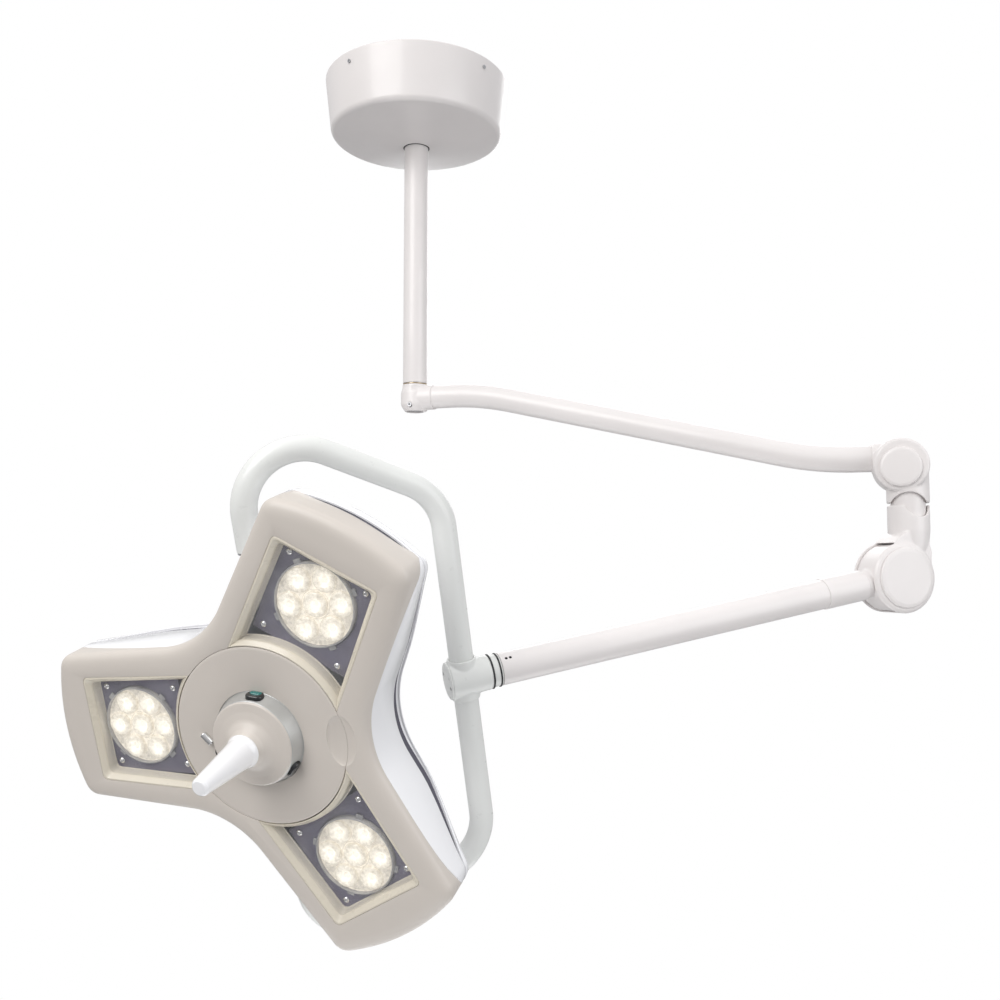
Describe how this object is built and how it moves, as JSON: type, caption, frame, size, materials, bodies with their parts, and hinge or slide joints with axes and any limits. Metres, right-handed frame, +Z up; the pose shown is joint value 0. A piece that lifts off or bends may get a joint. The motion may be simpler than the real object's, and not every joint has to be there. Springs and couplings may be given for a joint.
{
  "type": "dental operating light",
  "caption": "Ceiling-mounted operating light: down tube, swinging level arm, spring arm, C-shaped yoke and a lobed LED lamp head with a centre grip.",
  "frame": {"origin": "centre of the ceiling bolt pattern, on the ceiling plane at the down tube's axis", "axes": "+Z up, out of the ceiling plate's top face; +X to the side the level arm reaches; +Y away from the operator"},
  "size_m": [1.282, 0.8818, 1.4272],
  "materials": {
    "zinc_steel": "zinc plated, satin",
    "warm_white_paint": "warm white powder coat, semi-gloss",
    "cool_white_paint": "greyish white powder coat, semi-gloss",
    "black_rubber": "matte",
    "black_steel": "black oxide, satin",
    "power_supply_case": "folded sheet, satin",
    "terminal_plastic": "moulded, matte",
    "bronze": "sintered bronze",
    "white_shell": "bright white, glossy",
    "beige_shell": "warm beige-grey, satin",
    "cream_frame": "cream, translucent",
    "clear_window": "clear polycarbonate",
    "module_plate": "dark, satin",
    "lit_optic": "clear lens cells, lit warm white",
    "circuit_board": "solder mask",
    "black_button": "black, glossy",
    "white_grip": "white, glossy"
  },
  "bodies": {
    "ceiling_mount": {"ceiling_plate": "zinc_steel", "mounting_flange": "zinc_steel", "flange_bolts": "zinc_steel", "tube_cross_bolt": "zinc_steel", "canopy": "warm_white_paint", "canopy_screws": "zinc_steel", "canopy_grommet": "black_rubber", "power_supply": "power_supply_case", "terminal_block": "terminal_plastic", "down_tube": "warm_white_paint", "swivel_spindle": "zinc_steel"},
    "radial_arm": {"radial_hub": "warm_white_paint", "hub_bushes": "bronze", "hub_thrust_washer": "bronze", "hub_brake_screw": "zinc_steel", "radial_tube": "warm_white_paint", "upper_elbow": "warm_white_paint", "upper_elbow_caps": "warm_white_paint", "neck_spindle": "warm_white_paint"},
    "elbow": {"lower_elbow": "warm_white_paint", "lower_elbow_caps": "warm_white_paint", "elbow_bushes": "bronze", "lift_pin": "zinc_steel"},
    "spring_arm": {"arm_root": "warm_white_paint", "spring_arm_tube": "warm_white_paint", "arm_sleeve": "warm_white_paint", "balance_spring": "zinc_steel", "spring_rod": "zinc_steel", "spring_adjuster": "bronze", "roll_spindle": "zinc_steel", "arm_set_screws": "black_steel"},
    "yoke": {"yoke_hub": "cool_white_paint", "hub_cap": "cool_white_paint", "hub_cap_screws": "black_steel", "seal_rings": "black_rubber", "yoke_tube_upper": "cool_white_paint", "yoke_tube_lower": "cool_white_paint", "trunnions": "zinc_steel"},
    "lamp_head": {"rear_cover": "white_shell", "front_shell": "beige_shell", "side_bands": "white_shell", "centre_plate": "beige_shell", "window_frames": "cream_frame", "window_1": "clear_window", "window_2": "clear_window", "window_3": "clear_window", "led_module_1": "module_plate", "led_module_2": "module_plate", "led_module_3": "module_plate", "optic_1": "lit_optic", "optic_2": "lit_optic", "optic_3": "lit_optic", "driver_board": "circuit_board", "pivot_blocks": "zinc_steel", "handle_mount": "beige_shell", "plate_lock": "zinc_steel"},
    "power_button": {"power_button": "black_button"},
    "brighter_button": {"brighter_button": "black_button"},
    "dimmer_button": {"dimmer_button": "black_button"},
    "grip": {"grip": "white_grip"}
  },
  "joints": [
    {"name": "radial_arm_swing", "type": "hinge", "parent": "ceiling_mount", "child": "radial_arm", "pos_m": [0, 0, -0.6], "axis": [0, 0, 1], "range_deg": [-165, 165]},
    {"name": "elbow_swing", "type": "hinge", "parent": "radial_arm", "child": "elbow", "pos_m": [0.80607, -0.26971, -0.86], "axis": [0, 0, 1], "range_deg": [-160, 160]},
    {"name": "spring_arm_lift", "type": "hinge", "parent": "elbow", "child": "spring_arm", "pos_m": [0.77724, -0.27798, -0.935], "axis": [0.2756, -0.9613, 0], "range_deg": [-50, 40]},
    {"name": "yoke_roll", "type": "hinge", "parent": "spring_arm", "child": "yoke", "pos_m": [0.10917, -0.46954, -1.07009], "axis": [-0.9436, -0.2706, -0.1908], "range_deg": [-150, 150]},
    {"name": "head_tilt", "type": "hinge", "parent": "yoke", "child": "lamp_head", "pos_m": [-0.12673, -0.53719, -1.1178], "axis": [0.114, 0.2755, -0.9545], "range_deg": [-8, 118]},
    {"name": "power_press", "type": "slide", "parent": "lamp_head", "child": "power_button", "axis": [-0.0182, 0.3196, -0.9474], "range_m": [0, 0.0012], "stiffness_N_per_m": 600},
    {"name": "brighter_press", "type": "slide", "parent": "lamp_head", "child": "brighter_button", "axis": [0.8305, -0.4147, 0.372], "range_m": [0, 0.0012], "stiffness_N_per_m": 600},
    {"name": "dimmer_press", "type": "slide", "parent": "lamp_head", "child": "dimmer_button", "axis": [-0.8123, 0.0951, 0.5754], "range_m": [0, 0.0012], "stiffness_N_per_m": 600},
    {"name": "grip_twist", "type": "hinge", "parent": "lamp_head", "child": "grip", "pos_m": [-0.15381, -0.61429, -1.14329], "axis": [-0.3163, -0.9007, -0.2978], "range_deg": [0, 60]}
  ]
}
